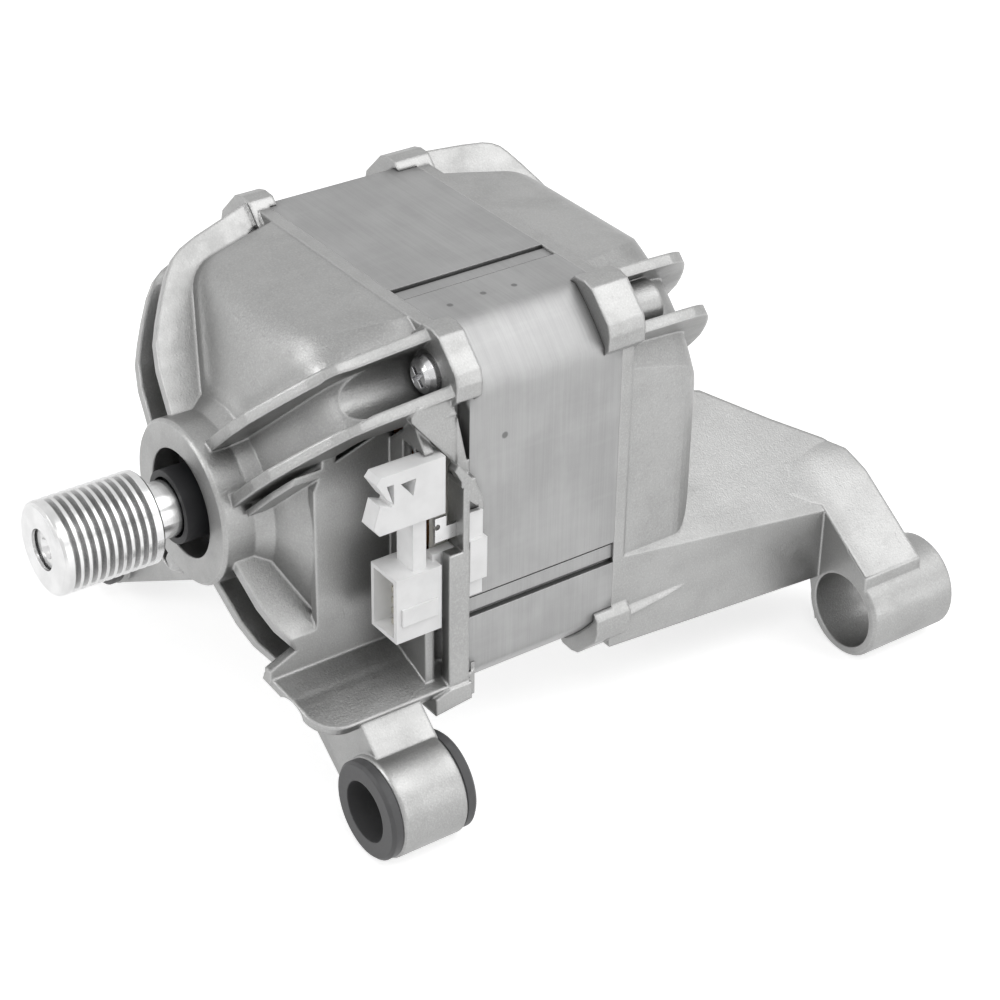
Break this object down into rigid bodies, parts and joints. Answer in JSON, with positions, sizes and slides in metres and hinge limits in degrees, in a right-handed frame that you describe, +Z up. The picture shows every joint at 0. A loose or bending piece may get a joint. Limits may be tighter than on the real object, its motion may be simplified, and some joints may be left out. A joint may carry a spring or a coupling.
{
  "type": "washing machine motor",
  "caption": "Closed electric motor with cast end shields, bare laminated stator, ribbed belt pulley, cast mounting arms with rubber bushes and a plug connector.",
  "frame": {"origin": "on the shaft axis, in the plane of the front hub's end face", "axes": "+Y along the shaft from the pulley towards the rear arms, +Z up, +X right when seen from the pulley's end, towards the connector"},
  "size_m": [0.1718, 0.2418, 0.1322],
  "materials": {
    "cast_shield": "die-cast, fine sandy satin",
    "lamination": "stacked sheet edges, satin",
    "insulator": "moulded, matt",
    "winding": "enamelled copper wire, gloss",
    "screw_steel": "zinc plated",
    "bush_rubber": "dark matt rubber",
    "white_plastic": "moulded, satin",
    "tinned_brass": "tinned",
    "plated_steel": "zinc plated",
    "bearing_steel": "ground",
    "spring_steel": "blackened",
    "black_plastic": "moulded, matt",
    "ground_steel": "ground, bright",
    "turned_steel": "turned, bright",
    "magnet": "sintered, dark",
    "ball_steel": "polished",
    "cage_brass": "pressed"
  },
  "bodies": {
    "housing": {"front_shield": "cast_shield", "rear_shield": "cast_shield", "stator_core": "lamination", "front_insulator": "insulator", "rear_insulator": "insulator", "stator_coils": "winding", "through_screws": "screw_steel", "near_bush": "bush_rubber", "far_bush": "bush_rubber", "terminal_block": "white_plastic", "terminal_pins": "tinned_brass", "earth_tab": "plated_steel", "front_bearing_outer": "bearing_steel", "rear_bearing_outer": "bearing_steel", "bearing_clip": "spring_steel", "wave_washer": "spring_steel", "dust_cap": "black_plastic"},
    "rotor": {"shaft": "ground_steel", "belt_pulley": "turned_steel", "rotor_core": "lamination", "rotor_magnets": "magnet", "rotor_end_plates": "plated_steel", "front_bearing_inner": "bearing_steel", "rear_bearing_inner": "bearing_steel"},
    "front_balls": {"front_bearing_balls": "ball_steel", "front_ball_cage": "cage_brass"},
    "rear_balls": {"rear_bearing_balls": "ball_steel", "rear_ball_cage": "cage_brass"}
  },
  "joints": [
    {"name": "rotor_spin", "type": "hinge", "parent": "housing", "child": "rotor", "pos_m": [0, 0, 0], "axis": [0, 1, 0], "continuous": true},
    {"name": "front_balls_spin", "type": "hinge", "parent": "housing", "child": "front_balls", "pos_m": [0, 0.0145, 0], "axis": [0, 1, 0], "continuous": true},
    {"name": "rear_balls_spin", "type": "hinge", "parent": "housing", "child": "rear_balls", "pos_m": [0, 0.136, 0], "axis": [0, 1, 0], "continuous": true}
  ],
  "couplings": [
    {"joint": "front_balls_spin", "follows": "rotor_spin", "ratio": 0.38},
    {"joint": "rear_balls_spin", "follows": "rotor_spin", "ratio": 0.368}
  ]
}
